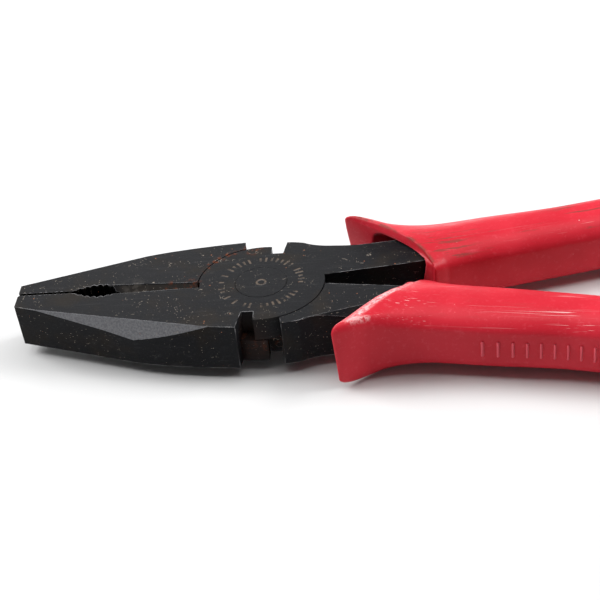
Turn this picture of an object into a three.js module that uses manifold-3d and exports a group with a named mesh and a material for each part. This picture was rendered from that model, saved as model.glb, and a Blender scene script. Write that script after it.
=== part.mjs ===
// Combination pliers of the 200 mm class, closed and lying flat.
// Two identical forged levers cross at a half-lap joint and turn on one flush rivet. Each lever
// is jaw, half-disc and tang in one piece, and each tang wears a moulded sleeve with a thumb guard.
//
// Part frame: origin on the pivot axis at the joint's back face, +X towards the handles,
// +Y towards the front lever's handle, +Z out of the joint's front face.
// A lever is drawn about the middle of the joint, with its jaw on -Y, its tang on +Y and its
// half-disc on +Z. The back lever is the front one turned half a turn about X.

import * as THREE from "three";
import { mergeVertices } from "three/addons/utils/BufferGeometryUtils.js";
import Module from "manifold-3d";

// Driving dimensions, millimetres.
const HALF = 5.05;                 // half the thickness of the joint and jaws
const TIP_X = -50.5;               // nose end
const TANG_END_X = 149.5;          // far end of the steel, 200 from the nose
const DISC_R = 13;                 // half-disc of the lap joint
const RUNNING_GAP = 0.25;          // from a disc's rim to the other lever
const LAP_GAP = 0.2;               // between the two half-discs
const JAW_GAP = 0.3;               // between the closed jaws
const SLEEVE_GAP = 0.35;           // from a tang to the sleeve round it
const BLOCK_SIZE = 300;            // longer than anything that a cutting block trims

// Jaw: side outline of each face, from the nose through a crease to the shoulder at the joint.
// The side leans a little, so the front face is wider than the back face at the nose.
const BACK_OUTLINE = {
  nose: new THREE.Vector2(TIP_X, -3.2),
  crease: new THREE.Vector2(-25.1, -11.95),
  bulge: new THREE.Vector2(-16.4, -14.2),
  shoulder: new THREE.Vector2(-4.2, -15.15),
};
const FRONT_OUTLINE = {
  nose: new THREE.Vector2(TIP_X, -4.2),
  crease: new THREE.Vector2(-25.4, -12.5),
  bulge: new THREE.Vector2(-14.8, -13.95),
  shoulder: new THREE.Vector2(-4.2, -15.15),
};
const NOSE_CORNER = 0.5;

// Jaw: the long facet ground on the front edge, between two ends on the front face and an apex.
const FACET_NOSE_END = new THREE.Vector3(-47.2, -5.35, HALF);
const FACET_JOINT_END = new THREE.Vector3(-9, -14.66, HALF);
const FACET_APEX = new THREE.Vector3(-25.3, -12.28, 1);

// Jaw: what is cut into the gripping edge.
const SERRATION_PITCH = 1.1;
const SERRATION_DEPTH = 0.35;
const PIPE_GRIP_START_X = -39.8;
const PIPE_GRIP_END_X = -28.8;
const PIPE_GRIP_DEPTH = 1.75;
const PIPE_TOOTH_DEPTH = 0.5;
const PIPE_TEETH = 8;
const CUTTER_START_X = -32.4;
const CUTTER_END_X = -12.6;
const CUTTER_START_Z = 3;
const CUTTER_END_Z = 3.7;
const FRONT_BEVEL = { startWidth: 1.6, endWidth: 0.75 };
const BACK_BEVEL = { startWidth: 2.2, endWidth: 1.3 };

// Joint cutters: the notch on the jaw's side of the disc and the one on the tang's side.
const JAW_NOTCH_FLOOR_Y = -10.1;
const JAW_NOTCH_NEAR_X = -3.46;
const JAW_NOTCH_FAR_X = -0.95;
const TANG_NOTCH_FLOOR_Y = 10.35;
const TANG_NOTCH_NEAR_X = 4.02;
const TANG_NOTCH_FAR_X = 1.6;
const TANG_SHOULDER = new THREE.Vector2(4.7, 14.4);

// Tang: half the width of the slot between the two tangs, and the stations that it passes.
const SLOT_HALF_WIDTH = 1.6;
const TANG_STATIONS = [
  { x: 13, y: 6.95, halfWidth: 5.35 },
  { x: 20, y: 7.35, halfWidth: 4.6 },
  { x: 33, y: 9.3, halfWidth: 4.45 },
  { x: 50, y: 13.1, halfWidth: 4.3 },
  { x: 66, y: 16.6, halfWidth: 3.9 },
  { x: 80, y: 19.9, halfWidth: 3.8 },
  { x: 96, y: 22.4, halfWidth: 3.8 },
  { x: 114, y: 23.5, halfWidth: 3.8 },
  { x: 134, y: 22.9, halfWidth: 3.8 },
  { x: TANG_END_X, y: 21.2, halfWidth: 3.6 },
];
const TANG_TAPER_START_X = 22;
const TANG_END_HALF = 3.9;         // half thickness at the far end

// Sleeve: stations along the handle. skew slants a station's section, most of all at the mouth,
// and corner rounds the side away from the other handle, sharp at the thumb guard's tip.
const SLEEVE_STATIONS = [
  { x: 25.3, y: 11.1, halfWidth: 9.5, corner: 1.6, skew: 1.08 },
  { x: 30.5, y: 10.8, halfWidth: 8.2, corner: 2.6, skew: 0.88 },
  { x: 38, y: 11.4, halfWidth: 7.3, corner: 3.6, skew: 0.55 },
  { x: 48, y: 13.2, halfWidth: 7.2, corner: 4.2, skew: 0.15 },
  { x: 62, y: 15.9, halfWidth: 6.55, corner: 4.2, skew: 0 },
  { x: 76, y: 19.2, halfWidth: 6.45, corner: 4.2, skew: 0 },
  { x: 94, y: 22.3, halfWidth: 6.5, corner: 4.2, skew: 0 },
  { x: 114, y: 23.6, halfWidth: 6.5, corner: 4.2, skew: 0 },
  { x: 134, y: 22.9, halfWidth: 6.5, corner: 4.2, skew: 0 },
  { x: 154, y: 20.6, halfWidth: 6.3, corner: 4.2, skew: 0 },
];
const SLEEVE_CORNER = 4.2;         // rounding on the side towards the other handle
const FRONT_SCOOP = 3.4;           // how far the middle of the mouth's front edge is set back
const BACK_SCOOP = -2;             // the same at the back edge, which bulges out
const MOUTH_LIP = 0.6;             // extra half thickness at the mouth
const MOUTH_REACH = 15;            // length of sleeve over which scoop and lip die away
const SLEEVE_HALF = 6.4;           // half thickness
const SLEEVE_TIP = 4;              // length of the rounded end beyond the last station
const POCKET_END_X = 40;           // where the mouth's hollow has closed on the tang

// How each sleeve sits on its tang: along the handle, and away from the other handle.
const FRONT_SEAT = new THREE.Vector3(0.3, 0.8, 0);
const BACK_SEAT = new THREE.Vector3(-2.2, -0.8, 0);

// Rivet, one flush head on each face.
const RIVET_R = 4.2;
const RIVET_HEAD_R = 5.3;
const RIVET_HEAD_DEPTH = 1.1;
const RIVET_GAP = 0.1;

// Smoothness of the round stretches.
const DISC_SIDES = 96;
const RAIL_STEPS = 26;
const SIDE_STEPS = 12;
const SLEEVE_RINGS = 34;
const CORNER_STEPS = 4;

const wasm = await Module();
wasm.setup();

const steel = new THREE.MeshStandardMaterial({ color: 0x2c2d2f, roughness: 0.55, metalness: 0.7 });
const rivetSteel = new THREE.MeshStandardMaterial({ color: 0x2a2b2c, roughness: 0.5, metalness: 0.7 });
const redPlastic = new THREE.MeshStandardMaterial({ color: 0xd02a3a, roughness: 0.35, metalness: 0 });

// A closed three.js geometry as a solid that can be joined and cut.
function solid(geometry) {
  const bare = geometry.index ? geometry.toNonIndexed() : geometry.clone();
  bare.deleteAttribute("normal");
  bare.deleteAttribute("uv");
  const merged = mergeVertices(bare, 1e-4);
  return new wasm.Manifold(new wasm.Mesh({
    numProp: 3,
    vertProperties: new Float32Array(merged.attributes.position.array),
    triVerts: new Uint32Array(merged.index.array),
  }));
}

// A solid back as a three.js geometry with flat faces.
function geometryOf(manifold) {
  const mesh = manifold.getMesh();
  const geometry = new THREE.BufferGeometry();
  geometry.setAttribute("position", new THREE.BufferAttribute(mesh.vertProperties, 3));
  geometry.setIndex(new THREE.BufferAttribute(mesh.triVerts, 1));
  geometry.computeVertexNormals();
  return geometry;
}

// A plan outline as a slab from one height to another.
function slab(shape, bottom, top) {
  const geometry = new THREE.ExtrudeGeometry(shape, {
    depth: top - bottom,
    bevelEnabled: false,
    curveSegments: RAIL_STEPS,
  });
  geometry.translate(0, 0, bottom);
  return solid(geometry);
}

// A slab whose bottom and top outlines differ, point for point, joined by ruled sides.
function ruledSlab(bottomOutline, topOutline, bottom, top) {
  const count = bottomOutline.length;
  const points = [
    ...bottomOutline.map((point) => new THREE.Vector3(point.x, point.y, bottom)),
    ...topOutline.map((point) => new THREE.Vector3(point.x, point.y, top)),
  ];
  const indices = [];
  THREE.ShapeUtils.triangulateShape(bottomOutline, []).forEach(([a, b, c]) => indices.push(a, c, b));
  THREE.ShapeUtils.triangulateShape(topOutline, [])
    .forEach(([a, b, c]) => indices.push(a + count, b + count, c + count));
  for (let i = 0; i < count; i += 1) {
    const next = (i + 1) % count;
    indices.push(i, next, next + count, i, next + count, i + count);
  }
  const geometry = new THREE.BufferGeometry().setFromPoints(points);
  geometry.setIndex(indices);
  return solid(geometry);
}

// A cylinder about the pivot axis from one height to another.
function barrel(radius, bottom, top) {
  const geometry = new THREE.CylinderGeometry(radius, radius, top - bottom, DISC_SIDES);
  geometry.rotateX(Math.PI / 2);
  geometry.translate(0, 0, (bottom + top) / 2);
  return solid(geometry);
}

// Equal rings of points joined into a skin, with a flat cap at each end.
function loft(rings) {
  const count = rings[0].length;
  const last = (rings.length - 1) * count;
  const indices = [];
  for (let ring = 0; ring < rings.length - 1; ring += 1) {
    for (let i = 0; i < count; i += 1) {
      const a = ring * count + i;
      const b = ring * count + (i + 1) % count;
      indices.push(a, b + count, b, a, a + count, b + count);
    }
  }
  for (let i = 1; i < count - 1; i += 1) {
    indices.push(0, i, i + 1, last, last + i + 1, last + i);
  }
  const geometry = new THREE.BufferGeometry().setFromPoints(rings.flat());
  geometry.setIndex(indices);
  return solid(geometry);
}

// A block that fills everything on the outer side of the plane through three points. The outer
// side is the one from which the points run anticlockwise.
function beyond(a, b, c) {
  const plane = new THREE.Plane().setFromCoplanarPoints(a, b, c);
  const block = new THREE.BoxGeometry(BLOCK_SIZE, BLOCK_SIZE, BLOCK_SIZE);
  block.translate(0, 0, BLOCK_SIZE / 2);
  block.applyQuaternion(new THREE.Quaternion().setFromUnitVectors(new THREE.Vector3(0, 0, 1), plane.normal));
  block.translate(a.x, a.y, a.z);
  return solid(block);
}

// Half-length of the pipe grip's toothed profile below the parting line, from 0 to 1 along it.
function pipeGripDepth(along, tooth) {
  const hollow = Math.sin(Math.PI * along ** 1.25);
  return hollow * PIPE_GRIP_DEPTH + (tooth ? PIPE_TOOTH_DEPTH * Math.min(1, hollow * 2) : 0);
}

// The gripping edge from the joint to the nose: cutter, pipe grip, then fine nose serrations.
function grippingEdge() {
  const edge = -JAW_GAP / 2;
  const flatEnd = TIP_X + NOSE_CORNER;
  const steps = PIPE_TEETH * 2;
  const points = [new THREE.Vector2(JAW_NOTCH_NEAR_X, edge), new THREE.Vector2(PIPE_GRIP_END_X, edge)];
  for (let i = steps - 1; i > 0; i -= 1) {
    const along = i / steps;
    const x = THREE.MathUtils.lerp(PIPE_GRIP_START_X, PIPE_GRIP_END_X, along);
    points.push(new THREE.Vector2(x, edge - pipeGripDepth(along, i % 2 === 1)));
  }
  for (let x = PIPE_GRIP_START_X; x - SERRATION_PITCH > flatEnd; x -= SERRATION_PITCH) {
    points.push(new THREE.Vector2(x, edge));
    points.push(new THREE.Vector2(x - SERRATION_PITCH / 2, edge - SERRATION_DEPTH));
  }
  points.push(new THREE.Vector2(flatEnd, edge));
  points.push(new THREE.Vector2(TIP_X, edge - NOSE_CORNER));
  return points;
}

// One face of the jaw in plan, anticlockwise from the nose.
function jawFace(outline) {
  const side = new THREE.QuadraticBezierCurve(outline.crease, outline.bulge, outline.shoulder);
  const notchFloor = new THREE.Vector2(JAW_NOTCH_NEAR_X, JAW_NOTCH_FLOOR_Y);
  return [outline.nose, ...side.getPoints(SIDE_STEPS), notchFloor, ...grippingEdge()];
}

// The jaw: its two faces joined by ruled sides, with the facet ground off the front edge.
function jawSolid() {
  const back = jawFace(BACK_OUTLINE);
  const front = jawFace(FRONT_OUTLINE);
  const facet = beyond(FACET_NOSE_END, FACET_APEX, FACET_JOINT_END);
  return ruledSlab(back, front, -HALF, HALF).subtract(facet);
}

// One ground bevel of the side cutter: wide at the pipe grip, narrower at the joint.
function cutterBevel(side, { startWidth, endWidth }) {
  const section = (x, rise, width) => [
    new THREE.Vector3(x, 1, side * rise),
    new THREE.Vector3(x, -JAW_GAP / 2, side * rise),
    new THREE.Vector3(x, -width - 0.5, side * (HALF + 0.9)),
    new THREE.Vector3(x, 1, side * (HALF + 0.9)),
  ];
  const rings = [
    section(CUTTER_START_X, CUTTER_START_Z, startWidth),
    section(CUTTER_END_X, CUTTER_END_Z, endWidth),
  ];
  return loft(side > 0 ? rings : rings.reverse());
}

// Notch of a joint cutter in the disc, between two walls and out past the rim.
function notch(nearX, farX, floorY, outward) {
  const shape = new THREE.Shape();
  shape.moveTo(nearX, floorY);
  shape.lineTo(farX, floorY);
  shape.lineTo(farX - 0.15 * Math.sign(nearX), floorY + outward * 5);
  shape.lineTo(nearX + 0.8 * Math.sign(nearX), floorY + outward * 5);
  shape.closePath();
  return slab(shape, -HALF - 1, HALF + 1);
}

// Points on both edges of a tang, widened by a clearance, at even steps along it.
function tangRails(clearance) {
  const route = new THREE.CatmullRomCurve3(TANG_STATIONS.map((s) => new THREE.Vector3(s.x, s.y, 0)));
  const girth = new THREE.CatmullRomCurve3(TANG_STATIONS.map((s) => new THREE.Vector3(s.halfWidth, 0, 0)));
  const outer = [];
  const inner = [];
  for (let step = 0; step <= RAIL_STEPS; step += 1) {
    const along = step / RAIL_STEPS;
    const point = route.getPoint(along);
    const heading = route.getTangent(along);
    const half = girth.getPoint(along).x + clearance;
    outer.push(new THREE.Vector2(point.x - heading.y * half, point.y + heading.x * half));
    inner.push(new THREE.Vector2(point.x + heading.y * half, point.y - heading.x * half));
  }
  return { outer, inner };
}

// A tang with the shoulder block that joins it to the disc.
function tangShape() {
  const { outer, inner } = tangRails(0);
  const shape = new THREE.Shape();
  shape.moveTo(TANG_NOTCH_NEAR_X, SLOT_HALF_WIDTH);
  shape.lineTo(inner[0].x, SLOT_HALF_WIDTH);
  inner.slice(1).forEach((point) => shape.lineTo(point.x, point.y));
  outer.slice(1).reverse().forEach((point) => shape.lineTo(point.x, point.y));
  shape.quadraticCurveTo(outer[0].x - 2, outer[0].y, TANG_SHOULDER.x + 3.5, TANG_SHOULDER.y - 0.5);
  shape.lineTo(TANG_SHOULDER.x + 1, TANG_SHOULDER.y);
  shape.lineTo(TANG_SHOULDER.x, TANG_SHOULDER.y);
  shape.lineTo(TANG_NOTCH_NEAR_X, TANG_NOTCH_FLOOR_Y);
  shape.closePath();
  return shape;
}

// The blocks above and below a tang that thin it towards its end.
function taperCuts(clearance) {
  const start = HALF + clearance;
  const end = TANG_END_HALF + clearance;
  const above = beyond(
    new THREE.Vector3(TANG_TAPER_START_X, 0, start),
    new THREE.Vector3(TANG_END_X, 0, end),
    new THREE.Vector3(TANG_TAPER_START_X, 50, start),
  );
  const below = beyond(
    new THREE.Vector3(TANG_TAPER_START_X, 0, -start),
    new THREE.Vector3(TANG_TAPER_START_X, 50, -start),
    new THREE.Vector3(TANG_END_X, 0, -end),
  );
  return above.add(below);
}

// The ground corner along the tang's outer back edge, widening from the shoulder into the sleeve.
function tangEdgeCut() {
  const start = new THREE.Vector3(9, 13.2, -HALF);
  const onSide = new THREE.Vector3(19, 12.1, 1.7 - HALF);
  const onFace = new THREE.Vector3(19, 10.2, -HALF);
  const reach = new THREE.BoxGeometry(21, 20, HALF);
  reach.translate(19.5, 14, -HALF);
  return beyond(start, onSide, onFace).intersect(solid(reach));
}

// Rivet about the pivot axis, fattened by a clearance for the bore that it sits in.
function rivetSolid(clearance, overrun) {
  const shank = RIVET_R + clearance;
  const head = RIVET_HEAD_R + clearance;
  const neck = HALF - RIVET_HEAD_DEPTH;
  const profile = [[0, -HALF - overrun], [head, -HALF - overrun], [head, -HALF], [shank, -neck]];
  const mirrored = profile.map(([radius, height]) => [radius, -height]).reverse();
  const points = [...profile, ...mirrored]
    .map(([radius, height]) => new THREE.Vector2(radius, height))
    .filter((point, i, all) => i === 0 || !point.equals(all[i - 1]));
  const geometry = new THREE.LatheGeometry(points, DISC_SIDES);
  geometry.rotateX(Math.PI / 2);
  return solid(geometry);
}

// One lever: jaw and tang at full thickness, cleared for the other disc, with its own half-disc.
function leverSolid() {
  const tang = slab(tangShape(), -HALF, HALF).subtract(taperCuts(0)).subtract(tangEdgeCut());
  const room = barrel(DISC_R + RUNNING_GAP, -HALF - 1, LAP_GAP / 2);
  const disc = barrel(DISC_R, LAP_GAP / 2, HALF);
  return jawSolid().add(tang)
    .subtract(room)
    .add(disc)
    .subtract(notch(JAW_NOTCH_NEAR_X, JAW_NOTCH_FAR_X, JAW_NOTCH_FLOOR_Y, -1))
    .subtract(notch(TANG_NOTCH_NEAR_X, TANG_NOTCH_FAR_X, TANG_NOTCH_FLOOR_Y, 1))
    .subtract(cutterBevel(1, FRONT_BEVEL))
    .subtract(cutterBevel(-1, BACK_BEVEL))
    .subtract(rivetSolid(RIVET_GAP, 1));
}

// A rounded rectangle across the handle about a point on its route. It is slanted by skew, and
// near the mouth the middle of its front edge is pushed back and that of its back edge forward.
function sleeveRing(centre, heading, size) {
  const across = new THREE.Vector3(-heading.y, heading.x, 0).addScaledVector(heading, -size.skew);
  const ring = [];
  for (let quarter = 0; quarter < 4; quarter += 1) {
    const sideways = quarter === 0 || quarter === 3 ? 1 : -1;
    const upwards = quarter < 2 ? 1 : -1;
    const corner = sideways > 0 ? size.corner : size.innerCorner;
    for (let step = 0; step <= CORNER_STEPS; step += 1) {
      const angle = (quarter + step / CORNER_STEPS) * Math.PI / 2;
      const u = sideways * (size.halfWidth - corner) + corner * Math.cos(angle);
      const v = upwards * (size.halfHeight - corner) + corner * Math.sin(angle);
      const middle = 1 - (u / size.halfWidth) ** 2;
      const scoop = THREE.MathUtils.mapLinear(v, -size.halfHeight, size.halfHeight, BACK_SCOOP, FRONT_SCOOP);
      const push = size.nearMouth * middle * scoop;
      ring.push(centre.clone().addScaledVector(across, u).addScaledVector(heading, push).setZ(v));
    }
  }
  return ring.reverse();
}

// The sleeve's outer skin: rings from the slanted mouth to the rounded end.
function sleeveSkin() {
  const route = new THREE.CatmullRomCurve3(SLEEVE_STATIONS.map((s) => new THREE.Vector3(s.x, s.y, 0)));
  const girth = new THREE.CatmullRomCurve3(
    SLEEVE_STATIONS.map((s) => new THREE.Vector3(s.halfWidth, s.corner, s.skew)),
  );
  const mouth = route.getPoint(0);
  const rings = [];
  for (let i = 0; i <= SLEEVE_RINGS; i += 1) {
    const along = i / SLEEVE_RINGS;
    const { x: halfWidth, y: corner, z: skew } = girth.getPoint(along);
    const centre = route.getPoint(along);
    const nearMouth = Math.max(0, 1 - centre.distanceTo(mouth) / MOUTH_REACH) ** 2;
    const halfHeight = SLEEVE_HALF + MOUTH_LIP * nearMouth;
    const size = { halfWidth, halfHeight, corner, innerCorner: SLEEVE_CORNER, skew, nearMouth };
    rings.push(sleeveRing(centre, route.getTangent(along), size));
  }
  for (let i = 1; i <= CORNER_STEPS; i += 1) {
    const angle = i / (CORNER_STEPS + 0.5) * Math.PI / 2;
    const inset = SLEEVE_TIP * (1 - Math.cos(angle));
    const centre = route.getPoint(1).addScaledVector(route.getTangent(1), SLEEVE_TIP * Math.sin(angle));
    rings.push(sleeveRing(centre, route.getTangent(1), {
      halfWidth: SLEEVE_STATIONS.at(-1).halfWidth - inset,
      halfHeight: SLEEVE_HALF - inset,
      corner: SLEEVE_CORNER - inset,
      innerCorner: SLEEVE_CORNER - inset,
      skew: 0,
      nearMouth: 0,
    }));
  }
  return loft(rings);
}

// The room for the tang inside a sleeve.
function tangChannel() {
  const { outer, inner } = tangRails(SLEEVE_GAP);
  const far = TANG_STATIONS.at(-1);
  const plug = new THREE.BoxGeometry(1.4, 2 * far.halfWidth, 2 * TANG_END_HALF);
  plug.translate(far.x, far.y, 0);
  return slab(new THREE.Shape([...inner, ...outer.reverse()]), -HALF - SLEEVE_GAP, HALF + SLEEVE_GAP)
    .subtract(taperCuts(SLEEVE_GAP))
    .add(solid(plug));
}

// The hollow behind the thumb guard, from outside the mouth to where it closes on the tang.
function mouthPocket() {
  const shape = new THREE.Shape();
  shape.moveTo(8, 15.4);
  shape.lineTo(22, 14.9);
  shape.quadraticCurveTo(33, 15, POCKET_END_X, 15.4);
  shape.lineTo(POCKET_END_X, 8);
  shape.quadraticCurveTo(36, 4.6, 30, 3.4);
  shape.lineTo(8, -2);
  shape.closePath();
  return slab(shape, -HALF - 0.6, HALF + 0.6);
}

function sleeveSolid(seat) {
  return sleeveSkin().translate(seat.toArray()).subtract(tangChannel()).subtract(mouthPocket());
}

function part(name, geometry, material) {
  const mesh = new THREE.Mesh(geometry, material);
  mesh.name = name;
  return mesh;
}

const leverGeometry = geometryOf(leverSolid());

const frontHalf = new THREE.Group();
frontHalf.add(part("front_lever", leverGeometry, steel));
frontHalf.add(part("front_grip", geometryOf(sleeveSolid(FRONT_SEAT)), redPlastic));
frontHalf.add(part("pivot_rivet", geometryOf(rivetSolid(0, 0)), rivetSteel));

const backHalf = new THREE.Group();
backHalf.rotation.x = Math.PI;
backHalf.add(part("back_lever", leverGeometry, steel));
backHalf.add(part("back_grip", geometryOf(sleeveSolid(BACK_SEAT)), redPlastic));

const pliers = new THREE.Group();
pliers.position.z = HALF;
pliers.add(frontHalf, backHalf);

export default pliers;
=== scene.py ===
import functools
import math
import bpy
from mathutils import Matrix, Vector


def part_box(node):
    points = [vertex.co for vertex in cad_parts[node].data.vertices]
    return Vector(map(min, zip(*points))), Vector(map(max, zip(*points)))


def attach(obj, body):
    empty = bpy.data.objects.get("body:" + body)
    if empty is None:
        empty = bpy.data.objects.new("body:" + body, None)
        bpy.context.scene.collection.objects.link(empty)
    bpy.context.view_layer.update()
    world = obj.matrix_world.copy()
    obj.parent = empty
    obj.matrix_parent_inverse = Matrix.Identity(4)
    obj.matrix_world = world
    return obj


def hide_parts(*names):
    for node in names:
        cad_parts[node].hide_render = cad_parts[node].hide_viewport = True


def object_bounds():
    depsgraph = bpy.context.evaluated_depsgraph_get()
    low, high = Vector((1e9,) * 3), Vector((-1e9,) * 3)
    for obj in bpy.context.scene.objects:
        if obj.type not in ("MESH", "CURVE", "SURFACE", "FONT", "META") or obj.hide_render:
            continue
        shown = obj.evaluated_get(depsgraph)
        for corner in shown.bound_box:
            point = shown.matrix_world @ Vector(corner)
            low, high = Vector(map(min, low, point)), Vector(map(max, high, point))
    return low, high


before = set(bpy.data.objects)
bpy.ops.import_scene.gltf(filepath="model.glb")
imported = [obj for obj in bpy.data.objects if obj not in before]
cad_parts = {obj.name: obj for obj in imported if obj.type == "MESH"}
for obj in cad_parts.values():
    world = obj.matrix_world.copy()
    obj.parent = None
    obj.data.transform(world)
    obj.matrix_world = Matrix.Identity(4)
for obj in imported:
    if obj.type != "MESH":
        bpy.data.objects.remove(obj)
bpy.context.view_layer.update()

# Looks of the combination pliers: the forged levers and the rivet stay as the frame has them and
# get soft edges and a blackened-steel finish; the two sleeves are modelled again as thick hollow
# mouldings with rolled mouths and raised marks. Sizes are millimetres until a mesh is written.

from types import SimpleNamespace

import bmesh
import bpy
from mathutils import Matrix, Vector

MM = 0.001
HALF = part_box("front_lever")[1].z / MM / 2      # half the thickness of the joint


# ---------------------------------------- the sleeve's driving sizes

# Stations of the sleeve's route, and of the tang inside it, in a lever's own frame: the middle
# plane is z = 0, the jaw on -y and the tang on +y. A sleeve station slants by its skew.
SLEEVE_ROUTE = [
    (25.3, 11.1), (30.5, 10.8), (38, 11.4), (48, 13.2), (62, 15.9),
    (76, 19.2), (94, 22.3), (114, 23.6), (134, 22.9), (154, 20.6),
]
SLEEVE_GIRTH = [        # half width, outer corner, skew
    (9.5, 1.6, 1.08), (8.2, 2.2, 0.88), (7.3, 2.6, 0.55), (7.2, 2.7, 0.15), (6.55, 2.7, 0),
    (6.45, 2.7, 0), (6.5, 2.7, 0), (6.5, 2.7, 0), (6.5, 2.7, 0), (6.3, 2.7, 0),
]
TANG_ROUTE = [
    (13, 6.95), (20, 7.35), (33, 9.3), (50, 13.1), (66, 16.6),
    (80, 19.9), (96, 22.4), (114, 23.5), (134, 22.9), (149.5, 21.2),
]
TANG_HALF_WIDTH = [5.35, 4.6, 4.45, 4.3, 3.9, 3.8, 3.8, 3.8, 3.8, 3.6]
TANG_TAPER = (22, 149.5, 5.05, 3.9)             # from x to x, half thickness from and to

SLEEVE_HALF = 6.4
INNER_CORNER = 2.9
MOUTH_CORNERS = (1.3, 3.4)                      # inner corners at the mouth: above and below
SHOULDER = (0.95, 1.15)                         # fall of the broad faces to the inner, outer side
MOUTH_DIP = 0.45                                # further fall of the lower face at the inner side
FRONT_SCOOP = 3.4
BACK_SCOOP = -2
MOUTH_LIP = 0.6
GUARD_LIP = 0.9                                 # further swell of the lower face at the guard
MOUTH_REACH = 15
SLEEVE_TIP = 4
CROWN = 0.25                                    # swell of the broad faces between their edges
SEATS = {"front": (0.3, 0.8), "back": (-2.2, -0.8)}

# How far back each sleeve's mouth has worn or settled: at its inner side, and at the guard's
# lower and upper edge in the lever's own frame.
MOUTH_SHIFT = {"front": (0, 1.6, 0), "back": (1.4, 0.8, 1.2)}

RIM_ROLL = (0.6, 0.9)                           # radius of the mouth's roll: inner side, guard
BEVEL_LENGTH = 3.0                              # sloping band round the mouth's back edge
BEVEL_DROP = 0.55
GUARD_WALL = 5.0
INNER_WALL = 1.9
INNER_FORWARD = 0.9                             # the wall's inner edge stands forward of its rim
MOUTH_HALF = 5.25                               # half height of the hollow at the mouth
HOLLOW_CORNERS = (1.6, 1.2, 1.2, 1.6)           # of the hollow at the mouth
HOLLOW_END_X = 42
CHANNEL_GAP = 0.35
CHANNEL_CORNER = 0.5
SHIFT_REACH = 16                                # how far down the sleeve a mouth's shift reaches
TIP_DOME = 0.15                                 # swell of the far end's flat middle

# Fineness of the sleeve's mesh.
ARC_STEPS = 9
FLAT_STEPS = 5
ROLL_STEPS = 7
CHANNEL_STEPS = 24
FUNNEL_STEPS = 8
TIP_STEPS = 8
SKIN_STEPS = 90
SKIN_CROWDING = 1.1                             # above 1, the rings crowd towards the mouth
ROUTE_SAMPLES = 200
LIP_SHARES = (0.06, 0.35, 0.65, 0.94)           # rings between the hollow and the roll
BAND_DISTANCES = (1.2, 1.7, 2.3, BEVEL_LENGTH - 0.15, BEVEL_LENGTH + 0.15)
SKIN_START = BEVEL_LENGTH + 0.8
DOME_SHARES = (0.35, 0.7, 0.95)


# ---------------------------------------- curves and sections

def centripetal(points, along):
    """Place on a centripetal Catmull-Rom curve through the points, for along from 0 to 1."""
    last = len(points) - 1
    index = min(int(along * last), last - 1)
    part = along * last - index
    start, end = points[index], points[index + 1]
    before = points[index - 1] if index > 0 else start * 2 - end
    after = points[index + 2] if index + 2 <= last else end * 2 - start
    middle = max((end - start).length ** 0.5, 1e-2)
    lead = max((start - before).length ** 0.5, 1e-2)
    tail = max((after - end).length ** 0.5, 1e-2)
    leave = (start - before) / lead - (end - before) / (lead + middle) + (end - start) / middle
    arrive = (end - start) / middle - (after - start) / (middle + tail) + (after - end) / tail
    leave, arrive = leave * middle, arrive * middle
    square = end * 3 - start * 3 - leave * 2 - arrive
    cube = start * 2 - end * 2 + leave + arrive
    return start + leave * part + square * part ** 2 + cube * part ** 3


def lerp(start, end, part):
    return start + (end - start) * part


def smooth(value, low, high):
    """0 below low, 1 above high, and an easy slope between."""
    part = min(max((value - low) / (high - low), 0), 1)
    return part * part * (3 - 2 * part)


ROUTE = [Vector((x, y, 0)) for x, y in SLEEVE_ROUTE]
GIRTH = [Vector(sizes) for sizes in SLEEVE_GIRTH]
TANG = [Vector((x, y, 0)) for x, y in TANG_ROUTE]
TANG_GIRTH = [Vector((half, 0, 0)) for half in TANG_HALF_WIDTH]
PER_MM = 1 / (len(ROUTE) - 1) / (ROUTE[1] - ROUTE[0]).length    # step along it near the mouth


@functools.lru_cache(maxsize=None)
def station(along):
    """Centre, heading, half width, corner, skew and nearness to the mouth of the sleeve."""
    along = min(max(along, 0), 1)
    centre = centripetal(ROUTE, along)
    low, high = max(along - 1e-4, 0), min(along + 1e-4, 1)
    heading = (centripetal(ROUTE, high) - centripetal(ROUTE, low)).normalized()
    half_width, corner, skew = centripetal(GIRTH, along)
    near = max(0, 1 - (centre - ROUTE[0]).length / MOUTH_REACH) ** 2
    return centre, heading, half_width, corner, skew, near


def section(left, right, half, radii):
    """Points round a rounded rectangle; its corners go round from the upper right one."""
    signs = [(1, 1), (-1, 1), (-1, -1), (1, -1)]
    corners = []
    for quarter, (radius, (side, level)) in enumerate(zip(radii, signs)):
        edge = right if side > 0 else left
        corners.append((edge - side * radius, level * (half - radius), radius, quarter))
    arcs = []
    for u, v, radius, quarter in corners:
        angles = [(quarter + step / ARC_STEPS) * math.pi / 2 for step in range(ARC_STEPS + 1)]
        arcs.append([Vector((u + radius * math.cos(a), v + radius * math.sin(a))) for a in angles])
    points = []
    for arc, following in zip(arcs, arcs[1:] + arcs[:1]):
        points += arc
        points += [arc[-1].lerp(following[0], step / FLAT_STEPS) for step in range(1, FLAT_STEPS)]
    return points


def half_height(along, u, v):
    """Half thickness here: shoulders at both sides, and a lip that swells to the guard's mouth."""
    _, _, half_width, _, _, near = station(along)
    part = u / half_width
    if v < 0:
        near *= 3 - 2 * math.sqrt(near)
    lip = MOUTH_LIP * near * smooth(part, -1, 0)
    fall = SHOULDER[0] * smooth(-part, 0.3, 1) + SHOULDER[1] * smooth(part, 0.3, 1) * (1 - near)
    below = GUARD_LIP * smooth(part, 0.4, 1) - MOUTH_DIP * smooth(-part, 0, 0.8) if v < 0 else 0
    return SLEEVE_HALF + lip - fall + near * below


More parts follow.
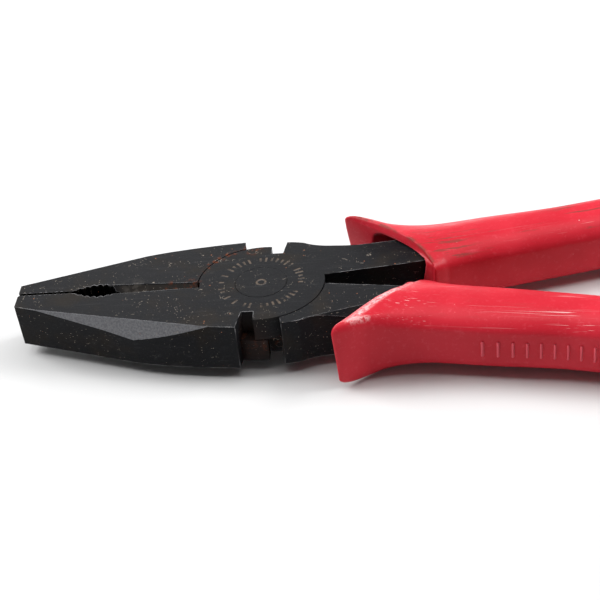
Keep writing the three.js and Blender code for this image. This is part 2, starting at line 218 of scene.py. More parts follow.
@functools.lru_cache(maxsize=None)
def skin_section(along, inset):
    half_width, corner = station(along)[2:4]
    limit = half_width - inset
    above, below = (lerp(INNER_CORNER, radius, station(along)[5]) for radius in MOUTH_CORNERS)
    radii = [max(radius - inset, 0.4) for radius in (corner, above, below, corner)]
    plain = section(-limit, limit, SLEEVE_HALF - inset, radii)
    return [Vector((u, v * half_height(along, u, v) / SLEEVE_HALF)) for u, v in plain]


def bevel_drop(along, u, v):
    """How far the band round the mouth's back edge slopes in at this station."""
    centre, _, half_width, _, _, _ = station(along)
    by_mouth = max(0, 1 - (centre - ROUTE[0]).length / BEVEL_LENGTH)
    inner_end = smooth(u / half_width, -0.84, -0.74)
    return BEVEL_DROP * by_mouth * inner_end * smooth(-v / SLEEVE_HALF, 0.5, 0.95)


def place(along, u, v):
    """A point of the slanted section at this station, with the mouth's scoop and bevel in it."""
    centre, heading, half_width, _, skew, near = station(along)
    across = Vector((-heading.y, heading.x, 0)) - heading * skew
    middle = max(0, 1 - (u / half_width) ** 2)
    high = (v / half_height(along, u, v) + 1) / 2
    push = near * middle * lerp(BACK_SCOOP, FRONT_SCOOP, high)
    point = centre + across * u + heading * push
    height = v * (1 + CROWN / SLEEVE_HALF * middle) + bevel_drop(along, u, v)
    return Vector((point.x, point.y, height))


def ring_at(along, inset=0):
    return [place(along, u, v) for u, v in skin_section(along, inset)]


# ---------------------------------------- the sleeve

def roll_rings():
    """Rings round the mouth's edge, from the mouth's face back on to the skin."""
    half_width = station(0)[2]
    edge = skin_section(0, 0)
    rings = []
    for step in range(ROLL_STEPS + 1):
        angle = (1 - step / ROLL_STEPS) * math.pi / 2
        ring = []
        for index, (u, _) in enumerate(edge):
            radius = lerp(*RIM_ROLL, smooth(u, -half_width, half_width))
            along = round(radius * (1 - math.sin(angle)) * PER_MM, 4)
            inset = round(radius * (1 - math.cos(angle)), 3)
            ring.append(place(along, *skin_section(along, inset)[index]))
        rings.append(ring)
    return rings


def hollow_mouth():
    """The hollow's opening, in the plane of the mouth."""
    _, heading, half_width, _, _, _ = station(0)
    left, right = INNER_WALL - half_width, half_width - GUARD_WALL
    opening = section(left, right, MOUTH_HALF, HOLLOW_CORNERS)
    points = []
    for u, v in opening:
        forward = heading * INNER_FORWARD * smooth(-u / half_width, 0.2, 1)
        points.append(place(0, u, v) - forward - Vector((0, 0, bevel_drop(0, u, v))))
    return points


def channel_ring(along, seat):
    """The hollow round the tang, seen from the sleeve's own place on it."""
    centre = centripetal(TANG, along)
    ahead = centripetal(TANG, min(along + 1e-3, 1))
    heading = (ahead - centripetal(TANG, along - 1e-3)).normalized()
    half_width = centripetal(TANG_GIRTH, along).x + CHANNEL_GAP
    start_x, end_x, start_half, end_half = TANG_TAPER
    part = min(max((centre.x - start_x) / (end_x - start_x), 0), 1)
    half = lerp(start_half, end_half, part) + CHANNEL_GAP
    across = Vector((-heading.y, heading.x, 0))
    middle = centre - Vector((*seat, 0))
    outline = section(-half_width, half_width, half, (CHANNEL_CORNER,) * 4)
    return [middle + across * u + Vector((0, 0, v)) for u, v in outline]


def hollow_rings(seat):
    """Rings from the far end of the channel forward to the opening."""
    samples = (step / ROUTE_SAMPLES for step in range(ROUTE_SAMPLES))
    entry = next(along for along in samples if centripetal(TANG, along).x > HOLLOW_END_X)
    stops = [lerp(1, entry, step / CHANNEL_STEPS) for step in range(CHANNEL_STEPS + 1)]
    channel = [channel_ring(along, seat) for along in stops]
    mouth = hollow_mouth()
    funnel = []
    for step in range(1, FUNNEL_STEPS):
        part = math.sin(step / FUNNEL_STEPS * math.pi / 2)
        funnel.append([a.lerp(b, part) for a, b in zip(channel[-1], mouth)])
    return channel + funnel + [mouth]


def tip_rings():
    """The rounded far end, closed by shrinking rings."""
    heading = station(1)[1]
    rings = []
    for step in range(1, TIP_STEPS + 1):
        angle = step / TIP_STEPS * math.pi / 2
        inset = SLEEVE_TIP * (1 - math.cos(angle))
        ahead = heading * SLEEVE_TIP * math.sin(angle)
        rings.append([point + ahead for point in ring_at(1, inset)])
    middle = sum(rings[-1], Vector()) / len(rings[-1])
    domed = [[point.lerp(middle, part) + heading * TIP_DOME * part for point in rings[-1]]
             for part in DOME_SHARES]
    return rings + domed


def join_rings(bm, rings):
    """Closed skin through equal rings, with a face across each end."""
    loops = [[bm.verts.new(point * MM) for point in ring] for ring in rings]
    for loop, following in zip(loops, loops[1:]):
        for index in range(len(loop)):
            after = (index + 1) % len(loop)
            bm.faces.new((loop[index], loop[after], following[after], following[index]))
    bm.faces.new(list(reversed(loops[0])))
    bm.faces.new(loops[-1])


def add_mesh(name, bm):
    bmesh.ops.recalc_face_normals(bm, faces=bm.faces)
    mesh = bpy.data.meshes.new(name)
    bm.to_mesh(mesh)
    bm.free()
    mesh.shade_smooth()
    piece = bpy.data.objects.new(name, mesh)
    bpy.context.collection.objects.link(piece)
    return piece


def mouth_shift(side, x, y, z):
    """Shift along the handle that slants a mouth a little, fading out down the sleeve."""
    centre, _, half_width, _, skew, _ = station(0)
    behind = x - (centre.x + skew * (centre.y - y))
    inner, low, high = MOUTH_SHIFT[side]
    guard = lerp(low, high, smooth(z, -SLEEVE_HALF, SLEEVE_HALF))
    by_guard = smooth(y, centre.y - half_width, centre.y + half_width)
    return lerp(inner, guard, by_guard) * (1 - smooth(behind, 0, SHIFT_REACH))


def own_to_part(side, point):
    """From a lever's own frame to the part's: the back half is turned half a turn about x."""
    x, y, z = point
    x += mouth_shift(side, x, y, z)
    seat_x, seat_y = SEATS[side]
    x, y = x + seat_x, y + seat_y
    return Vector((x, y, z + HALF)) if side == "front" else Vector((x, -y, HALF - z))


def on_mouth(side, level, *places):
    """Points on a sleeve's broad face, from pairs of distance behind the rim and share of width."""
    points = []
    for distance, share in places:
        along = distance * PER_MM
        u = share * station(along)[2]
        points.append(own_to_part(side, place(along, u, level * half_height(along, u, level))))
    return points


def skin_rings():
    """Rings of the outer skin, from the roll of the mouth to the last station."""
    band = [ring_at(distance * PER_MM) for distance in BAND_DISTANCES]
    parts = [(step / SKIN_STEPS) ** SKIN_CROWDING for step in range(SKIN_STEPS + 1)]
    return band + [ring_at(lerp(SKIN_START * PER_MM, 1, part)) for part in parts]


def make_sleeve(side):
    roll = roll_rings()
    hollow = hollow_rings(SEATS[side])
    lip = [[a.lerp(b, part) for a, b in zip(hollow[-1], roll[0])] for part in LIP_SHARES]
    rings = hollow + lip + roll + skin_rings() + tip_rings()
    bm = bmesh.new()
    join_rings(bm, [[own_to_part(side, point) for point in ring] for ring in rings])
    sleeve = add_mesh(f"{side}_sleeve", bm)
    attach(sleeve, f"{side}_half")
    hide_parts(f"{side}_grip")
    return sleeve


# ---------------------------------------- raised marks on the sleeve's side

MARK_HEIGHT = 0.55
MARK_WIDTH = 0.5
MARK_PROFILE = [        # share of the width, share of the height
    (-0.5, -0.6), (-0.42, 0.45), (-0.2, 0.9), (0.2, 0.9), (0.42, 0.45), (0.5, -0.6),
]
LINE_STEPS = 6
FIRST_BAR_X = 48
BAR_PITCH = 2.5
BAR_COUNT = 13
BAR_TOP = 1.6
BAR_FOOT = -1.6
HALVINGS = 30


def along_at(x):
    """Station whose centre is at this x, by halving."""
    low, high = 0, 1
    for _ in range(HALVINGS):
        middle = (low + high) / 2
        if station(middle)[0].x < x:
            low = middle
        else:
            high = middle
    return round(low, 6)


def side_point(x, v, lift):
    """A point on the sleeve's outer side at this x and height, lifted off the skin."""
    along = along_at(x)
    return place(along, station(along)[2] + lift, v)


def stroke(bm, side, path):
    """A low rounded ridge along a straight path of (x, height) points on the sleeve's side."""
    loops = []
    along = (Vector(path[-1]) - Vector(path[0])).normalized()
    for x, v in path:
        ring = []
        for sideways, lift in MARK_PROFILE:
            offset = Vector((-along.y, along.x)) * sideways * MARK_WIDTH
            point = side_point(x + offset.x, v + offset.y, lift * MARK_HEIGHT)
            ring.append(bm.verts.new(own_to_part(side, point) * MM))
        loops.append(ring)
    for loop, following in zip(loops, loops[1:]):
        for index in range(len(MARK_PROFILE)):
            after = (index + 1) % len(MARK_PROFILE)
            bm.faces.new((loop[index], loop[after], following[after], following[index]))
    bm.faces.new(list(reversed(loops[0])))
    bm.faces.new(loops[-1])


def line(start, end):
    parts = [step / LINE_STEPS for step in range(LINE_STEPS + 1)]
    return [(lerp(start[0], end[0], part), lerp(start[1], end[1], part)) for part in parts]


def make_marks(side):
    """An even row of plain raised grip bars, which stands for the sleeve's moulded marks."""
    bm = bmesh.new()
    for index in range(BAR_COUNT):
        x = FIRST_BAR_X + index * BAR_PITCH
        stroke(bm, side, line((x, BAR_TOP), (x, BAR_FOOT)))
    marks = add_mesh(f"{side}_sleeve_marks", bm)
    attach(marks, f"{side}_half")
    return marks


# ---------------------------------------- node materials

EDGE_SAMPLES = 6
EDGE_COSINES = (0.995, 0.86)                    # between true and filleted normal: flat, edge

# Places of a Mix node's colour sockets, which share their names with others.
MIX_SHARE = 0
MIX_BELOW = 6
MIX_ABOVE = 7
MIX_COLOUR = 2


class Shader:
    """One node material, built by calls that return sockets. Sizes are in millimetres."""

    def __init__(self, name, **constants):
        self.material = bpy.data.materials.new(name)
        self.material.use_nodes = True
        self.tree = self.material.node_tree
        self.surface = self.tree.nodes["Principled BSDF"]
        for socket, value in constants.items():
            self.surface.inputs[socket.replace("_", " ")].default_value = value
        self.place = self.add("ShaderNodeTexCoord").outputs["Object"]

    def add(self, kind, inputs=None, **settings):
        node = self.tree.nodes.new(kind)
        for name, value in settings.items():
            setattr(node, name, value)
        for key, value in (inputs or {}).items():
            self.feed(node.inputs[key], value)
        return node

    def feed(self, socket, value):
        if isinstance(value, bpy.types.NodeSocket):
            self.tree.links.new(value, socket)
        else:
            socket.default_value = value

    def maths(self, operation, *values):
        inputs = dict(enumerate(values))
        return self.add("ShaderNodeMath", inputs, operation=operation).outputs[0]

    def vectors(self, operation, *values):
        inputs = dict(enumerate(values))
        return self.add("ShaderNodeVectorMath", inputs, operation=operation).outputs

    def times(self, *values):
        return functools.reduce(lambda a, b: self.maths("MULTIPLY", a, b), values)

    def plus(self, *values):
        return functools.reduce(lambda a, b: self.maths("ADD", a, b), values)

    def most(self, *values):
        return functools.reduce(lambda a, b: self.maths("MAXIMUM", a, b), values)

    def off(self, value, level):
        """Distance of a value from a level."""
        return self.maths("ABSOLUTE", self.plus(value, -level))

    def ramp(self, value, low, high):
        """0 below low and 1 above high, or the other way round where low is the higher."""
        flip = low > high
        inputs = {"Value": value, "From Min": min(low, high), "From Max": max(low, high)}
        inputs.update({"To Min": float(flip), "To Max": float(not flip)})
        return self.add("ShaderNodeMapRange", inputs, interpolation_type="SMOOTHSTEP").outputs[0]

    def stretched(self, scale, turn=0.0):
        """Places drawn out by the scale along an axis turned this many degrees from x."""
        inputs = {"Vector": self.place, "Scale": scale, "Rotation": (0, 0, math.radians(turn))}
        return self.add("ShaderNodeMapping", inputs, vector_type="TEXTURE").outputs[0]

    def noise(self, size, detail=2.0, vector=None, roughness=0.5):
        """Noise with features about this wide."""
        inputs = {"Vector": vector or self.place, "Scale": 1 / (size * MM), "Detail": detail}
        inputs["Roughness"] = roughness
        return self.add("ShaderNodeTexNoise", inputs).outputs[0]

    def specks(self, size, share, spread):
        """Small scattered spots, in this share of cells of this size."""
        cells = self.add("ShaderNodeTexVoronoi", {"Vector": self.place, "Scale": 1 / (size * MM)})
        chance = self.add("ShaderNodeSeparateColor", {0: cells.outputs["Color"]})
        chosen = self.maths("LESS_THAN", chance.outputs[0], share)
        width = self.times(chance.outputs[1], spread)
        return self.times(self.maths("LESS_THAN", cells.outputs["Distance"], width), chosen)

    def near(self, centre, radius):
        """1 at a point, fading to 0 at a radius."""
        away = self.vectors("DISTANCE", self.place, tuple(c * MM for c in centre))["Value"]
        return self.ramp(away, radius * MM, 0)

    def beside(self, path, radius):
        """1 along a path of points, fading to 0 at a radius."""
        shares = []
        for start, end in zip(path, path[1:]):
            span = (end - start) * MM
            offset = self.vectors("SUBTRACT", self.place, tuple(start * MM))[0]
            along = self.vectors("DOT_PRODUCT", offset, tuple(span / span.length_squared))["Value"]
            part = self.maths("MINIMUM", self.maths("MAXIMUM", along, 0), 1)
            foot = self.add("ShaderNodeVectorMath", {0: tuple(span), "Scale": part}, operation="SCALE")
            away = self.vectors("DISTANCE", offset, foot.outputs[0])["Value"]
            shares.append(self.ramp(away, radius * MM, 0))
        return self.most(*shares)

    def blend(self, share, below, above):
        """The colour below, changed to the one above by the share."""
        inputs = {MIX_SHARE: share, MIX_BELOW: below, MIX_ABOVE: above}
        return self.add("ShaderNodeMix", inputs, data_type="RGBA").outputs[MIX_COLOUR]

    def edges(self, radius):
        """1 on edges sharper than a fillet of this radius."""
        soft = self.add("ShaderNodeBevel", {"Radius": radius * MM}, samples=EDGE_SAMPLES).outputs[0]
        true = self.add("ShaderNodeNewGeometry").outputs["Normal"]
        return self.ramp(self.vectors("DOT_PRODUCT", soft, true)["Value"], *EDGE_COSINES)

    def bump(self, *layers):
        """Chained bumps of (height, depth)."""
        normal = None
        for height, depth in layers:
            inputs = {"Height": height, "Distance": depth * MM, "Strength": 1.0}
            if normal is not None:
                inputs["Normal"] = normal
            normal = self.add("ShaderNodeBump", inputs).outputs[0]
        self.feed(self.surface.inputs["Normal"], normal)

    def finish(self, colour, roughness):
        self.feed(self.surface.inputs["Base Color"], colour)
        self.feed(self.surface.inputs["Roughness"], roughness)
        return self.material


# ---------------------------------------- blackened steel

BLACK = (0.0074, 0.0077, 0.0092, 1)
BLACK_WARM = (0.0145, 0.0118, 0.0098, 1)
# near black, for painted shade in the pipe grip's hollow and the jaws' seam
GAP_SHADE = (0.0022, 0.0020, 0.0018, 1)
WORN = (0.36, 0.36, 0.37, 1)
GROUND = (0.060, 0.061, 0.065, 1)
# ground facet tone, brightened further as a painted highlight
FACET_PALE_AND_LIT = (0.215, 0.217, 0.230, 1)
GROOVE_TONE = (0.050, 0.043, 0.037, 1)
GROOVE_WORN = (0.105, 0.095, 0.085, 1)
RUST = (0.14, 0.040, 0.017, 1)
RUST_DARK = (0.019, 0.010, 0.008, 1)
RUST_PALE = (0.42, 0.16, 0.07, 1)
STAMP = (0.105, 0.080, 0.062, 1)
SPECK = (0.42, 0.36, 0.30, 1)

# Pairs over which a mask fades in, in millimetres: half widths about the middle plane y = 0,
# places along x, heights from the joint's middle, and distances from its rim or axis.
GROOVE_WIDTH = (2.5, 2.2)
GROOVE_START = (-31, -28)
GROOVE_END = (-12.6, -13)
GRIP_WIDTH = (3.4, 2.6)
GRIP_END = (-31, -31.6)
SEAM_WIDTH = (0.42, 0.3)
NOTCH_START = (-4.3, -3.5)
BROAD_FACE = (3.0, 4.6)
CLEAR_OF_RIM = (0.4, 1.2)
CLEAR_OF_RIVET = (6.3, 7.3)
BY_RIM = (1.5, 0.2)
INNER_DEPTH = 0.2                               # what lies deeper than this is off the broad faces

# Centre and reach of what has rusted, or has been rubbed.
ARC_RUST = ((-9.5, 9.5, 10), 10)
NOTCH_RUST = ((-3.4, -12.5, 4), 6)
RUST_SPOTS = [
    ((-2.4, 12.5, 8.5), 4.5), ((-18.5, 0.9, 9), 2.6), ((-14.2, 1.2, 9), 3.2), ((3, -12, 3), 4),
]
NOTCH_STAINS = [((-3, -12, 4), 10), ((2, 13, 6), 6)]
GROOVE_RUB = ((-26.5, 0.8, 8.5), 4)

FACET_NORMAL = Vector((-0.221, -0.908, 0.357))  # of the front lever's ground facet
FACET_COSINES = (0.985, 0.995)

DISC_RADIUS = 13.1
RING_RADIUS = 8.2
RING_MARKS = 44
TICK_HALF_LENGTH = 0.35                         # of the shortest tick, and what the longest adds
TICK_LENGTHENING = 0.55
TICKS_MISSING = 0.14                            # share left out, for a worn look
TICK_WIDTH = (0.24, 0.14)
SMALL_RING_RADIUS = 0.9
STAMP_SKIN = 0.05                               # marks reach this deep from a broad face


def whereabouts(shader):
    """Coordinates of a point of the levers and its distances from their features."""
    across = shader.add("ShaderNodeSeparateXYZ", {0: shader.place}).outputs
    x, y, z = (shader.times(across[axis], 1 / MM) for axis in range(3))
    radius = shader.maths("SQRT", shader.plus(shader.times(x, x), shader.times(y, y)))
    depth = shader.off(z, HALF)
    return SimpleNamespace(
        x=x, y=y, radius=radius, depth=depth,
        off_middle=shader.maths("ABSOLUTE", y),
        off_rim=shader.off(radius, DISC_RADIUS),
        inside=shader.maths("LESS_THAN", depth, HALF - INNER_DEPTH),
    )


def stamped(shader, at):
    """Generic marks stamped in both joint faces: a ring of ticks, and a small plain ring in it."""
    turn = shader.times(shader.maths("ARCTAN2", at.y, at.x), RING_MARKS / (2 * math.pi))
    across = shader.off(shader.maths("FRACT", turn), 0.5)
    count = shader.maths("FLOOR", turn)
    kind = shader.add("ShaderNodeTexWhiteNoise", {"W": count}, noise_dimensions="1D").outputs["Value"]
    length = shader.plus(shader.times(kind, TICK_LENGTHENING), TICK_HALF_LENGTH)
    reached = shader.maths("LESS_THAN", shader.off(at.radius, RING_RADIUS), length)
    tick = shader.times(shader.ramp(across, *TICK_WIDTH), reached)
    tick = shader.times(tick, shader.maths("GREATER_THAN", kind, TICKS_MISSING))
    small_ring = shader.ramp(shader.off(at.radius, SMALL_RING_RADIUS), 0.28, 0.14)
    on_face = shader.maths("GREATER_THAN", at.depth, HALF - STAMP_SKIN)
    return shader.times(shader.most(tick, small_ring), on_face)


def facets(shader):
    """1 on the long facet ground on each lever's jaw, where the blackening is thinner; its pale tone
    also holds a painted highlight for the light it catches from the front.
    """
    true = shader.add("ShaderNodeNewGeometry").outputs["True Normal"]
    shares = []
    for side in (1, -1):
        toward = (FACET_NORMAL.x, FACET_NORMAL.y * side, FACET_NORMAL.z * side)
        facing = shader.vectors("DOT_PRODUCT", true, toward)["Value"]
        shares.append(shader.ramp(facing, *FACET_COSINES))
    return shader.most(*shares)


def blackened(shader, at, mottle, grain, brushed):
    """The forging's colours: warm and cold black, brushed and grainy, pale where ground, with a
    painted highlight on the jaw facets.
    """
    colour = shader.blend(shader.ramp(mottle, 0.45, 0.72), BLACK, BLACK_WARM)
    colour = shader.blend(shader.times(shader.ramp(brushed, 0.55, 0.8), 0.16), colour, GROUND)
    colour = shader.blend(shader.times(shader.ramp(grain, 0.5, 0.75), 0.15), colour, GROUND)
    # the facet's pale tone is partly its ground finish and partly a painted highlight from the front
    # light
    thin_and_lit = shader.plus(shader.times(shader.ramp(grain, 0.35, 0.65), 0.28), 0.6)
    colour = shader.blend(shader.times(facets(shader), thin_and_lit), colour, FACET_PALE_AND_LIT)
    groove = shader.times(
        shader.ramp(at.off_middle, *GROOVE_WIDTH), shader.ramp(at.x, *GROOVE_START),
        shader.ramp(at.x, *GROOVE_END), at.inside,
    )
    return shader.blend(shader.times(groove, 0.5), colour, GROOVE_TONE)


def worn_edges(shader, at, wear):
    """Where edges have rubbed bright, in patches, away from the disc's rim and the rivet."""
    broad = shader.plus(shader.times(shader.ramp(at.depth, *BROAD_FACE), 0.75), 0.15)
    apart = shader.times(
        shader.ramp(at.off_rim, *CLEAR_OF_RIM), shader.ramp(at.radius, *CLEAR_OF_RIVET),
    )
    patches = shader.ramp(shader.noise(2.6, 3), 0.3, 0.56)
    return shader.times(shader.edges(0.22), patches, broad, apart, wear)


def painted_gap_shade(shader, at):
    """Painted shade: near black in the pipe grip's hollow and along the seam between the closed jaws.
    """
    grip = shader.times(
        shader.ramp(at.off_middle, *GRIP_WIDTH), shader.ramp(at.x, *GRIP_END), at.inside,
    )
    seam = shader.times(shader.ramp(at.off_middle, *SEAM_WIDTH), shader.ramp(at.x, *GRIP_END))
    return shader.most(grip, seam)


def rusted(shader, at, colour):
    """The colour with stained notches and patchy rust, and the share of rust."""
    arc = shader.times(shader.ramp(at.off_rim, *BY_RIM), shader.near(*ARC_RUST))
    notch = shader.times(shader.ramp(at.x, *NOTCH_START), at.inside)
    walls = shader.times(shader.near(*NOTCH_RUST), notch, 0.6)
    rusty = shader.plus(arc, walls, *(shader.near(*spot) for spot in RUST_SPOTS))
    stained = shader.times(shader.plus(*(shader.near(*stain) for stain in NOTCH_STAINS)), notch)
    stained = shader.times(shader.ramp(stained, 0.1, 0.8), 0.7)
    colour = shader.blend(stained, colour, RUST_DARK)
    patchy = shader.ramp(shader.noise(1.1, 4, roughness=0.7), 0.48, 0.66)
    rust = shader.times(shader.ramp(rusty, 0.1, 0.9), patchy)
    return shader.blend(rust, colour, RUST), rust


def dusty(shader, colour):
    """The colour with pale specks, short hairs and orange crumbs, thicker in places."""
    dust = shader.specks(0.34, 0.2, 0.27)
    crumbs = shader.specks(0.7, 0.035, 0.24)
    where = shader.ramp(shader.noise(9, 2), 0.32, 0.6)
    squiggle = shader.ramp(shader.off(shader.noise(1.5, 1), 0.5), 0.012, 0.004)
    hairs = shader.times(squiggle, shader.ramp(shader.noise(1.9, 1), 0.65, 0.68))
    colour = shader.blend(shader.times(shader.most(dust, hairs), where, 0.65), colour, SPECK)
    return shader.blend(shader.times(crumbs, where, 0.85), colour, RUST_PALE)


def steel(name, wear):
    """Blackened forging, used and a little rusty, with marks stamped round the joint."""
    shader = Shader(name, Specular_IOR_Level=0.09, Metallic=0.05)
    at = whereabouts(shader)
    mottle = shader.noise(7, 4)
    grain = shader.noise(0.35, 3)
    brushed = shader.noise(1.1, 2, shader.stretched((8, 0.6, 0.6)))
    colour = blackened(shader, at, mottle, grain, brushed)
    worn = worn_edges(shader, at, wear)
    colour = shader.blend(worn, colour, WORN)
    # painted shade: the pipe grip's hollow and the seam between the jaws go near black
    colour = shader.blend(painted_gap_shade(shader, at), colour, GAP_SHADE)
    colour, rust = rusted(shader, at, colour)
    rubbed = shader.times(shader.near(*GROOVE_RUB), shader.ramp(shader.noise(1.4, 3), 0.4, 0.6), 0.6)
    colour = shader.blend(rubbed, colour, GROOVE_WORN)
    marks = stamped(shader, at)
    faded = shader.times(marks, shader.ramp(shader.noise(1.3, 3), 0.3, 0.6))
    colour = dusty(shader, shader.blend(faded, colour, STAMP))
    rough = shader.plus(
        shader.times(mottle, 0.22), shader.times(rust, 0.3), shader.times(worn, -0.12), 0.44,
    )
    pits = shader.times(shader.noise(2.4, 3), shader.plus(rust, 0.15))
    shader.bump((grain, 0.012), (brushed, 0.01), (shader.times(marks, -1.0), 0.06), (pits, 0.12))
    return shader.finish(colour, rough)


# ---------------------------------------- red plastic

RED = (0.60, 0.025, 0.042, 1)
RED_DEEP = (0.51, 0.017, 0.030, 1)
RED_PALE = (0.80, 0.14, 0.18, 1)
# pale pink of scratches and nicks, and of the painted highlight on the lower mouth's band
SCRATCH_AND_HIGHLIGHT = (0.86, 0.52, 0.52, 1)
SCUFF = (0.17, 0.045, 0.032, 1)

# Lines along the mouths, as pairs of distance behind the rim and share of the half width, and how far
# from them dirt lies, and a painted highlight spreads.
RIM_DIRT = [(0.7, 0.97), (0.7, 0.6), (0.7, 0.2), (0.7, -0.2), (0.7, -0.55), (0.7, -0.85)]
DIRT_REACH = 0.8
BAND_HIGHLIGHT = [(1.8, -0.7), (1.8, -0.1), (1.8, 0.4), (2.0, 0.84), (4.6, 0.86)]
HIGHLIGHT_REACH = 1.3


def facing_up(shader):
    """1 on the faces that look up, where scratches and dirt gather."""
    normal = shader.add("ShaderNodeNewGeometry").outputs["Normal"]
    upward = shader.add("ShaderNodeSeparateXYZ", {0: normal}).outputs[2]
    return shader.ramp(upward, 0.5, 0.85)


def moulded(shader, patches, pale, painted_highlight):
    """The plastic's colours: drift, mottle, pale rubbed edges, a painted sheen where asked, and a
    painted highlight along a line.
    """
    colour = shader.blend(shader.ramp(shader.noise(18, 3), 0.35, 0.7), RED, RED_DEEP)
    mottle = shader.ramp(shader.noise(0.9, 4, roughness=0.7), 0.52, 0.72)
    colour = shader.blend(shader.times(mottle, 0.16), colour, RED_PALE)
    rubbed = shader.times(shader.edges(0.6), shader.ramp(patches, 0.4, 0.7), 0.55)
    # the pale share is an even painted sheen, used on the raised marks; rubbed edges turn pale as well
    colour = shader.blend(shader.most(rubbed, pale), colour, RED_PALE)
    if painted_highlight:
        # painted highlight: a streaky white-pink line along the lower mouth's sloping band
        streaky = shader.ramp(shader.noise(0.8, 4, roughness=0.75), 0.40, 0.56)
        highlight_share = shader.times(shader.beside(painted_highlight, HIGHLIGHT_REACH), streaky, 0.62)
        colour = shader.blend(highlight_share, colour, SCRATCH_AND_HIGHLIGHT)
    return colour


def scuffed(shader, turn, upward, patches, grimy):
    """Brown smears along the handle, and dirt along the rim where there is some."""
    smears = shader.noise(0.8, 4, shader.stretched((13, 1, 1), turn), roughness=0.65)
    places = shader.ramp(shader.noise(11, 2), 0.42, 0.6)
    smeared = shader.times(shader.ramp(smears, 0.55, 0.63), places, upward)
    if not grimy:
        return smeared
    dirt = shader.times(shader.beside(grimy, DIRT_REACH), shader.ramp(patches, 0.6, 0.42))
    return shader.most(dirt, smeared)


def scratched(shader, turn, upward):
    """Fine broken lines along the handle."""
    lines = shader.noise(0.17, 1, shader.stretched((170, 1, 1), turn))
    broken = shader.ramp(shader.noise(3, 2, shader.stretched((9, 1, 1), turn)), 0.45, 0.6)
    return shader.times(shader.ramp(lines, 0.66, 0.70), broken, upward)


def plastic(name, turn, scuffs, scratches, pale=0.0, grimy=None, painted_highlight=None):
    """Moulded red plastic with soft waves, scratches along it, nicks and dirt, and where asked a
    painted sheen and a painted highlight.
    """
    shader = Shader(name, Specular_IOR_Level=0.15)
    waves = shader.noise(5, 2)
    grain = shader.noise(0.25, 2)
    patches = shader.noise(3, 3)
    upward = facing_up(shader)
    colour = moulded(shader, patches, pale, painted_highlight)
    scuff = shader.times(scuffed(shader, turn, upward, patches, grimy), scuffs, 0.75)
    colour = shader.blend(scuff, colour, SCUFF)
    scratch = shader.times(scratched(shader, turn, upward), scratches)
    colour = shader.blend(scratch, colour, SCRATCH_AND_HIGHLIGHT)
    nicks = shader.specks(1.6, 0.10, 0.09)
    colour = shader.blend(shader.times(nicks, 0.6), colour, SCRATCH_AND_HIGHLIGHT)
    rough = shader.plus(
        shader.times(waves, 0.16), shader.times(scuff, 0.25), shader.times(scratch, 0.2), 0.25,
    )
    shader.bump((waves, 0.12), (grain, 0.012), (scratch, 0.02), (shader.times(nicks, -1.0), 0.03))
    return shader.finish(colour, rough)


# ---------------------------------------- soft edges on the steel

WELD_DISTANCE = 0.002
FLAT_ANGLE = 0.5                                # degrees between faces that count as one
EDGE_ANGLE = 22
FLAT_WEIGHT = 80
LEVER_EDGE = 0.16
RIVET_EDGE = 0.08


def shading_group():
    """Geometry nodes that only turn smooth shading on."""
    group = bpy.data.node_groups.new("smooth_shading", "GeometryNodeTree")
    for way in ("INPUT", "OUTPUT"):
        group.interface.new_socket("Geometry", in_out=way, socket_type="NodeSocketGeometry")
    start = group.nodes.new("NodeGroupInput")
    shade = group.nodes.new("GeometryNodeSetShadeSmooth")
    end = group.nodes.new("NodeGroupOutput")
    group.links.new(start.outputs[0], shade.inputs[0])
    group.links.new(shade.outputs[0], end.inputs[0])
    return group


def soften(piece, width, shading):
    """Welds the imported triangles, clears flat faces and rounds the edges a little."""
    weld = piece.modifiers.new("weld", "WELD")
    weld.merge_threshold = WELD_DISTANCE * MM
    clear = piece.modifiers.new("clear", "DECIMATE")
    clear.decimate_type = "DISSOLVE"
    clear.angle_limit = math.radians(FLAT_ANGLE)
    shade = piece.modifiers.new("shade", "NODES")
    shade.node_group = shading
    bevel = piece.modifiers.new("bevel", "BEVEL")
    bevel.width = width * MM
    bevel.segments = 2
    bevel.limit_method = "ANGLE"
    bevel.angle_limit = math.radians(EDGE_ANGLE)
    bevel.harden_normals = False
    weighted = piece.modifiers.new("normals", "WEIGHTED_NORMAL")
    weighted.weight = FLAT_WEIGHT
    weighted.keep_sharp = True


def finish_cad(name, material, width, shading):
    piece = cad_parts[name]
    soften(piece, width, shading)
    piece.material_slots[0].link = "OBJECT"
    piece.material_slots[0].material = material


# ---------------------------------------- stage, lights and camera

FLOOR_SIDE = 3.0                                # metres
FLOOR_TONES = ((0.655, 0.655, 0.655, 1), (0.675, 0.675, 0.675, 1))
STUDIO_TINT = (0.97, 0.98, 1, 1)
STUDIO_STRENGTH = 0.09
LIGHTS = [              # name, place and aim in metres, size, watts
    ("left_softbox", (-0.75, 0.2, 0.68), (0.03, 0, 0), (0.55, 0.55), 10),
    ("right_softbox", (0.85, 0.2, 0.68), (0.03, 0, 0), (0.55, 0.55), 10),
    ("overhead", (0.03, 0.15, 0.95), (0.03, 0, 0), (0.9, 0.8), 5.5),
    ("backdrop_glow", (-0.2, 0.9, 0.155), (0.03, 0, 0.01), (0.5, 0.14), 2.6),
    ("front_strip", (-0.55, -0.85, 0.10), (0, 0, 0.01), (0.5, 0.12), 0.7),
]

CAMERA_AIM = Vector((7.5, 0.1, HALF)) * MM
CAMERA_DISTANCE = 0.2871
CAMERA_AZIMUTH = -84.1                          # from +x, degrees
CAMERA_ELEVATION = 34.9
CAMERA_ROLL = -6.4
CAMERA_LENS = 84
CAMERA_SENSOR = 36
CAMERA_NEAREST = 0.02


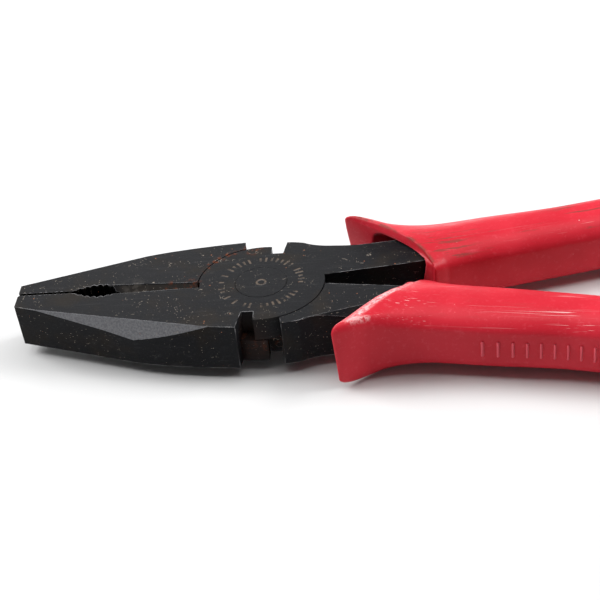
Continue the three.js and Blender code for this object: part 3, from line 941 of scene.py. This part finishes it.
def make_floor(height):
    bm = bmesh.new()
    half = FLOOR_SIDE / 2
    corners = [(-half, -half), (half, -half), (half, half), (-half, half)]
    bm.faces.new([bm.verts.new((x, y, height)) for x, y in corners])
    floor = add_mesh("floor", bm)
    shader = Shader("floor_white")
    tone = shader.blend(shader.noise(400, 2), *FLOOR_TONES)
    rough = shader.plus(shader.times(shader.noise(30), 0.1), 0.8)
    floor.data.materials.append(shader.finish(tone, rough))


def make_light(name, stand, aim, size, watts):
    lamp = bpy.data.lights.new(name, "AREA")
    lamp.shape = "RECTANGLE"
    lamp.size, lamp.size_y = size
    lamp.energy = watts
    light = bpy.data.objects.new(name, lamp)
    light.location = stand
    light.rotation_euler = (Vector(aim) - Vector(stand)).to_track_quat("-Z", "Y").to_euler()
    bpy.context.collection.objects.link(light)


def make_world():
    world = bpy.data.worlds.new("studio")
    world.use_nodes = True
    background = world.node_tree.nodes["Background"]
    background.inputs["Color"].default_value = STUDIO_TINT
    background.inputs["Strength"].default_value = STUDIO_STRENGTH
    bpy.context.scene.world = world


def make_camera():
    azimuth, elevation = math.radians(CAMERA_AZIMUTH), math.radians(CAMERA_ELEVATION)
    away = Vector((
        math.cos(azimuth) * math.cos(elevation),
        math.sin(azimuth) * math.cos(elevation),
        math.sin(elevation),
    ))
    roll = Matrix.Rotation(math.radians(CAMERA_ROLL), 3, "Z")
    turn = (-away).to_track_quat("-Z", "Y").to_matrix() @ roll
    data = bpy.data.cameras.new("camera")
    data.lens = CAMERA_LENS
    data.sensor_width = CAMERA_SENSOR
    data.clip_start = CAMERA_NEAREST
    camera = bpy.data.objects.new("camera", data)
    camera.matrix_world = Matrix.Translation(CAMERA_AIM + away * CAMERA_DISTANCE) @ turn.to_4x4()
    bpy.context.collection.objects.link(camera)
    bpy.context.scene.camera = camera


# ---------------------------------------- put together

make_camera()
make_world()
for light in LIGHTS:
    make_light(*light)

lever_steel = steel("lever_black_steel", wear=1.0)
rivet_steel = steel("rivet_black_steel", wear=0.0)
rim = on_mouth("front", 1, *RIM_DIRT)
# points along the lower mouth's band where a highlight is painted
band = on_mouth("back", -1, *BAND_HIGHLIGHT)
upper_plastic = plastic("upper_red_plastic", 11, scuffs=1.0, scratches=0.25, grimy=rim)
lower_plastic = plastic("lower_red_plastic", -9, scuffs=0.15, scratches=1.0, painted_highlight=band)
# raised marks painted paler all over: a painted highlight for the light on their tops
sheen_mark_plastic = plastic("mark_red_plastic_sheen", 10, scuffs=0.0, scratches=0.0, pale=0.6)

shading = shading_group()
finish_cad("front_lever", lever_steel, LEVER_EDGE, shading)
finish_cad("back_lever", lever_steel, LEVER_EDGE, shading)
finish_cad("pivot_rivet", rivet_steel, RIVET_EDGE, shading)
make_sleeve("front").data.materials.append(upper_plastic)
make_sleeve("back").data.materials.append(lower_plastic)
make_marks("front").data.materials.append(sheen_mark_plastic)
make_marks("back").data.materials.append(sheen_mark_plastic)

visual_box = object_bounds()
make_floor(visual_box[0].z)
bpy.context.scene.view_settings.view_transform = "Standard"
